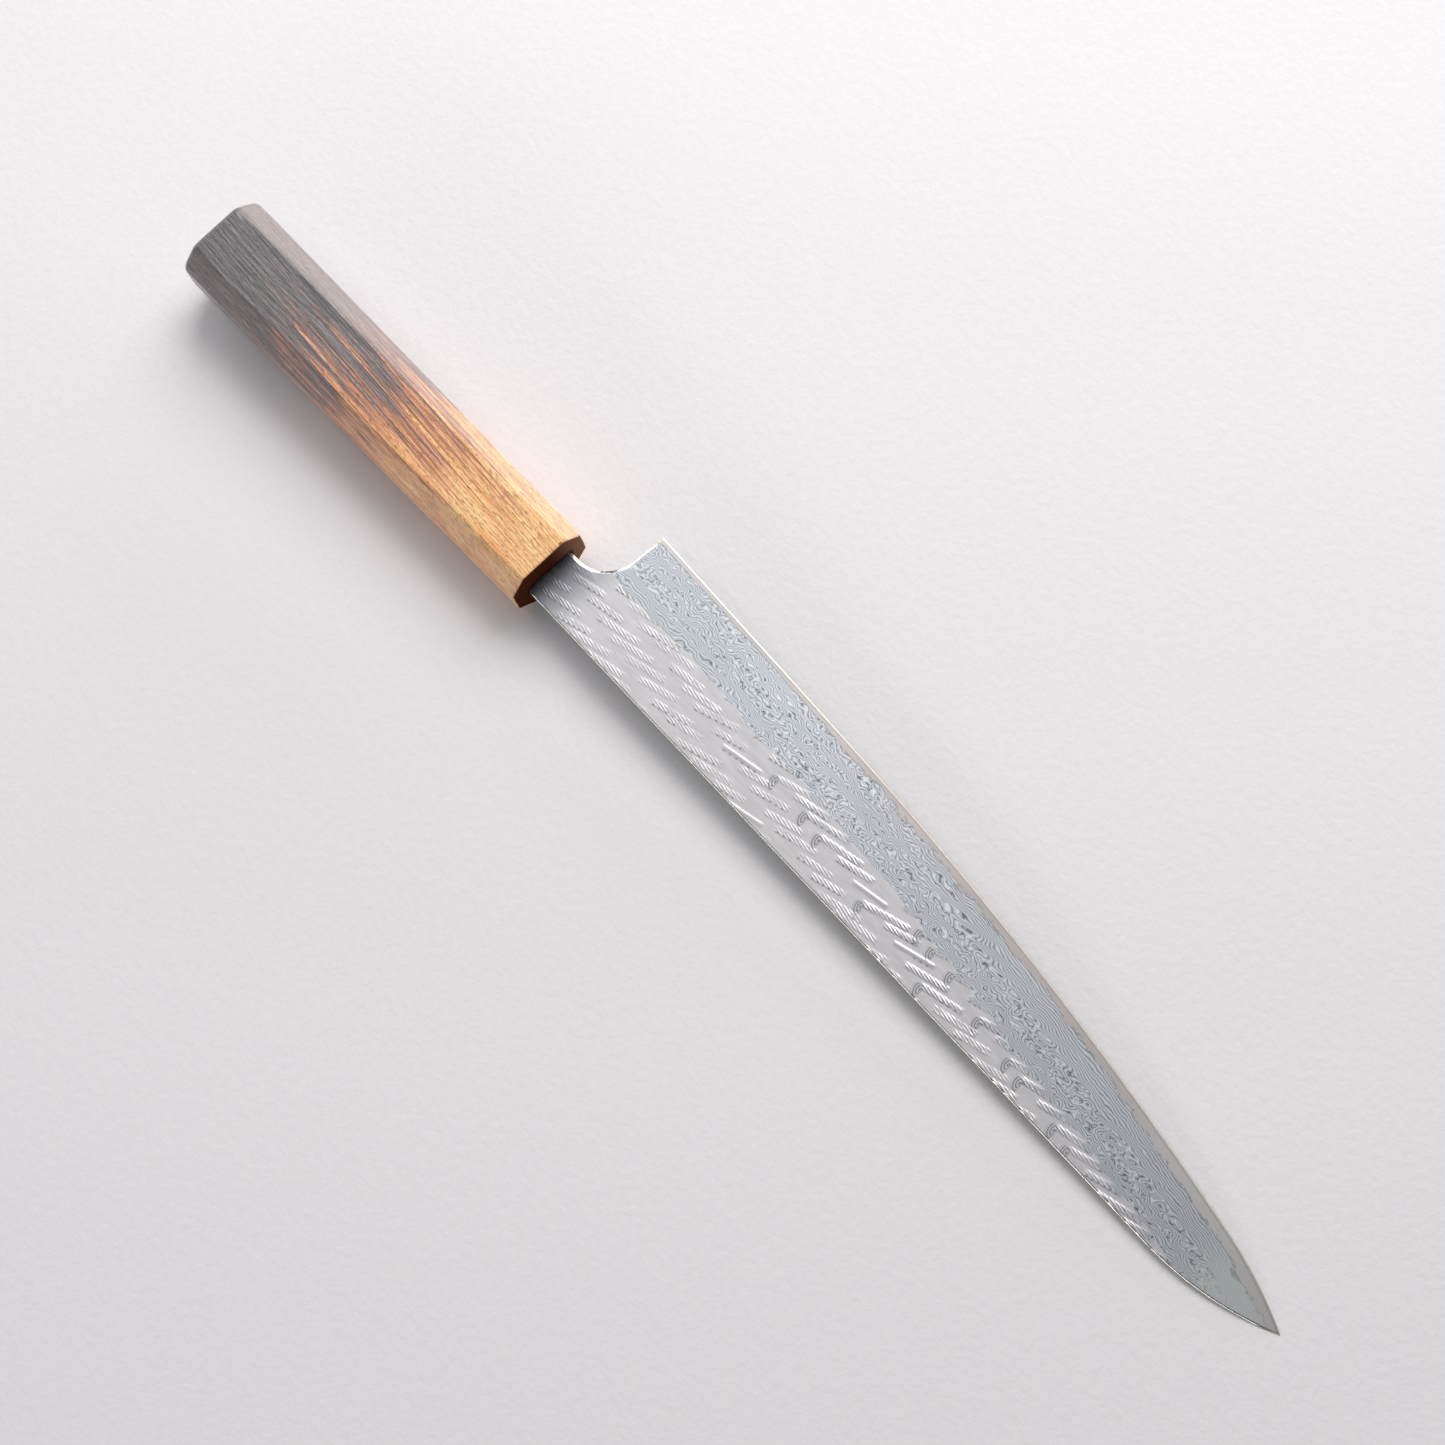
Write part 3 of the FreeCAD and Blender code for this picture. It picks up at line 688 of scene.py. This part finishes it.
def wood_paint():
    """Scorched wood that turns from char at the butt to fresh wood, with sawn ends."""
    paint = Paint("burnt_wood")
    along, across, up = paint.split(paint.place())
    slant = paint.calc("MULTIPLY_ADD", along, GRAIN_SLANT, across)
    grain_place = paint.node("ShaderNodeCombineXYZ", {0: along, 1: slant, 2: up}).outputs[0]
    share = paint.calc("DIVIDE", paint.calc("ADD", along, HANDLE_LENGTH), HANDLE_LENGTH)
    streak = paint.noise(grain_place, (0.012, 1.0, 1.0), 5.0, 0.7)
    patch = paint.noise(grain_place, (0.03, 0.13, 0.13), 2.0)
    front = paint.calc("MULTIPLY_ADD", paint.calc("SUBTRACT", streak, 0.5), 1.65, share)
    front = paint.calc("MULTIPLY_ADD", paint.calc("SUBTRACT", patch, 0.5), 0.6, front)
    front = paint.calc("MULTIPLY_ADD", across, -0.006, front)
    fibre = paint.ramp(paint.noise(grain_place, (0.03, 2.2, 2.2), 4.0, 0.7), 0.34, 0.6)
    growth = paint.noise(grain_place, (0.005, 1.15, 1.15), 1.0, 0.5)
    growth = paint.calc("ABSOLUTE", paint.calc("SUBTRACT", paint.calc("FRACT", paint.calc(
        "MULTIPLY", growth, 7.0)), 0.5))
    growth = paint.ramp(growth, 0.05, 0.24, 1.0, 0.0)
    char = paint.mix(fibre, light_value(44, 38, 38), light_value(120, 108, 107))
    brown = paint.mix(fibre, light_value(80, 55, 52), light_value(164, 116, 100))
    toast = paint.mix(fibre, light_value(158, 94, 66), light_value(236, 158, 106))
    fresh = paint.mix(fibre, light_value(255, 162, 82), light_value(255, 218, 150))
    colour = paint.mix(paint.ramp(front, 0.31, 0.45), char, brown)
    colour = paint.mix(paint.ramp(front, 0.47, 0.6), colour, toast)
    colour = paint.mix(paint.ramp(front, 0.56, 0.82), colour, fresh)
    scorch_end = paint.ramp(front, 0.35, 0.7)
    stain = paint.mix(scorch_end, light_value(44, 40, 41), light_value(206, 122, 70))
    growth = paint.calc("MULTIPLY", growth, paint.ramp(front, 0.5, 0.8, 0.65, 0.42))
    colour = paint.mix(growth, colour, stain)
    pores = paint.ramp(paint.noise(grain_place, (0.55, 3.0, 3.0), 1.0), 0.57, 0.67)
    pore_stain = paint.mix(scorch_end, light_value(40, 36, 38), light_value(172, 96, 66))
    colour = paint.mix(paint.calc("MULTIPLY", pores, 0.7), colour, pore_stain)
    smudge = paint.ramp(paint.noise(grain_place, (0.12, 0.34, 0.34), 4.0, 0.6), 0.5, 0.66)
    low_side = paint.ramp(across, -9, -6, 0.5, 0.06)
    low_side = paint.calc("MULTIPLY", low_side, paint.ramp(front, 0.4, 0.6))
    smudge = paint.calc("MULTIPLY", smudge, low_side)
    colour = paint.mix(smudge, colour, light_value(176, 112, 92))
    # Painted light: the spine-side chamfer and side are tinted pale towards the front, standing in for
    # the light they catch.
    low_chamfer_painted_light = paint.calc(
        "MULTIPLY", paint.ramp(across, -10, -7.5, 1.0, 0.0), paint.ramp(front, 0.35, 0.6, 0.06, 0.3))
    colour = paint.mix(low_chamfer_painted_light, colour, light_value(240, 192, 172))
    # Painted sheen: the edge-side chamfer and side are tinted pale, standing in for the light they
    # catch.
    high_chamfer_painted_sheen = paint.ramp(across, 7.2, 9.5, 0.0, 0.24)
    colour = paint.mix(high_chamfer_painted_sheen, colour, light_value(240, 214, 204))
    rings = paint.noise(paint.place(), (0.5, 1.8, 1.8), 3.0, 0.7)
    end_grain = paint.mix(rings, light_value(44, 20, 12), light_value(120, 66, 42))
    high_side = paint.ramp(across, 1, 12, 0.0, 0.9)
    end_grain = paint.mix(high_side, end_grain, paint.mix(
        rings, light_value(130, 84, 66), light_value(206, 158, 134)))
    colour = paint.mix(paint.ramp(along, -0.2, -0.12), colour, end_grain)
    sawn = paint.ramp(along, -HANDLE_LENGTH + 0.12, -HANDLE_LENGTH + 0.3, 1.0, 0.0)
    colour = paint.mix(sawn, colour, paint.mix(rings, light_value(50, 47, 46), light_value(90, 85, 82)))
    # Painted shade: the walls of the tang hole are painted near-black, standing in for the shadow
    # inside the hole.
    beside = paint.calc("LESS_THAN", paint.calc("ABSOLUTE", up), SLOT_THICK / 2 + 0.12)
    between = paint.calc("LESS_THAN", paint.calc("ABSOLUTE", across), SLOT_HALF + 0.15)
    hole = paint.calc("MULTIPLY", beside, between)
    hole = paint.calc("MULTIPLY", hole, paint.ramp(along, -100, -99))
    colour = paint.mix(hole, colour, light_value(24, 16, 12))
    height = paint.calc("SUBTRACT", fibre, pores)
    paint.bump(height, 0.00012, 0.7)
    side = paint.ramp(along, -0.2, -0.12, 1.0, 0.0)
    paint.feed(paint.surface.inputs["Specular IOR Level"], paint.calc("MULTIPLY", side, 0.8))
    sheen = paint.ramp(front, 0.3, 0.7, 1.0, 0.1)
    paint.feed(paint.surface.inputs["Coat Weight"], paint.calc("MULTIPLY", side, sheen))
    paint.feed(paint.surface.inputs["Coat Roughness"], 0.35)
    return paint.finish(colour, 0.46)


def glue_paint(name, dark, light):
    paint = Paint(name)
    place = paint.node("ShaderNodeTexCoord", {}).outputs["Object"]
    patch = paint.noise(place, (900.0, 900.0, 900.0), 3.0)
    paint.bump(patch, 0.0001, 0.5)
    return paint.finish(paint.mix(patch, light_value(*dark), light_value(*light)), 0.55)


def paper_paint():
    paint = Paint("paper")
    place = paint.node("ShaderNodeTexCoord", {}).outputs["Object"]
    tooth = paint.noise(place, (420.0, 420.0, 420.0), 4.0, 0.6)
    colour = paint.mix(tooth, light_value(229, 225, 226), light_value(236, 232, 233))
    paint.bump(tooth, 0.0004, 0.4)
    return paint.finish(colour, 0.9)


# ---------------------------------------------------------------- stage

FLOOR_SIZE, FLOOR_CELLS = 6.0, 40
LENS, SENSOR_WIDTH = 112.1, 36.0

def build_floor():
    bpy.ops.mesh.primitive_grid_add(
        x_subdivisions=FLOOR_CELLS, y_subdivisions=FLOOR_CELLS, size=FLOOR_SIZE)
    floor = bpy.context.object
    floor.name = "floor"
    floor.data.materials.append(paper_paint())


def aim(thing, place, target):
    """Puts a light at a knife-frame place and points it at another."""
    spot, goal = LAY_DOWN @ Vector(place), LAY_DOWN @ Vector(target)
    thing.location = spot
    thing.rotation_euler = (goal - spot).to_track_quat("-Z", "Y").to_euler()


def add_light(name, place, target, width, height, power, colour=(1, 1, 1)):
    lamp = bpy.data.lights.new(name, "AREA")
    lamp.shape = "RECTANGLE"
    lamp.size, lamp.size_y, lamp.energy, lamp.color = width, height, power, colour
    made = bpy.data.objects.new(name, lamp)
    bpy.context.scene.collection.objects.link(made)
    aim(made, place, target)


def add_lights():
    add_light("window", (-330, 760, 870), (90, 0, 0), 1.0, 0.8, 12.9)
    add_light("ceiling", (-600, 130, 1400), (90, 0, 0), 1.6, 1.6, 6.6)
    add_light("far_wall", (-100, 1300, 200), (0, 0, 0), 2.0, 0.4, 6.6, (0.9, 0.95, 1.0))
    add_light("near_wall", (100, -1100, 330), (100, 0, 0), 1.6, 0.22, 3.6, (0.94, 0.97, 1.0))
    add_light("side_wall", (-1250, 150, 480), (0, 0, 0), 1.0, 0.4, 3.4, (0.94, 0.97, 1.0))
    world = bpy.data.worlds.new("room")
    world.use_nodes = True
    world.node_tree.nodes["Background"].inputs["Color"].default_value = (0.9, 0.95, 1.0, 1.0)
    world.node_tree.nodes["Background"].inputs["Strength"].default_value = 0.11
    bpy.context.scene.world = world


def add_camera():
    """The camera above and past the tip, turned so that the knife lies down the picture."""
    lens = bpy.data.cameras.new("camera")
    lens.lens, lens.sensor_width = LENS, SENSOR_WIDTH
    camera = bpy.data.objects.new("camera", lens)
    right, upward = Vector((0.6716, 0.7285, -0.1349)), Vector((-0.6807, 0.6787, 0.2757))
    forward = Vector((-0.2924, 0.0933, -0.9517))
    turn = Matrix((right, upward, -forward)).transposed().to_4x4()
    place = LAY_DOWN @ Matrix.Translation((415.8, -107.4, 1143.5)) @ turn
    camera.matrix_world = Matrix.LocRotScale(
        place.to_translation(), place.to_quaternion(), (1, 1, 1))
    bpy.context.scene.collection.objects.link(camera)
    bpy.context.scene.camera = camera


def dress(piece, material):
    """Gives a piece one material in place of any that it has."""
    piece.data.materials.clear()
    piece.data.materials.append(material)


def main():
    dress(build_blade(), steel_paint())
    dress(build_handle(), wood_paint())
    glue = glue_paint("adhesive", (170, 140, 90), (205, 176, 120))
    seal = glue_paint("seal", (38, 28, 22), (64, 46, 34))
    for name, material in (("tang_adhesive", glue), ("mouth_seal", seal)):
        dress(bpy.data.objects[name], material)
    build_floor()
    add_lights()
    add_camera()
    bpy.context.scene.view_settings.view_transform = "Standard"
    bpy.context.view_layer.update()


main()
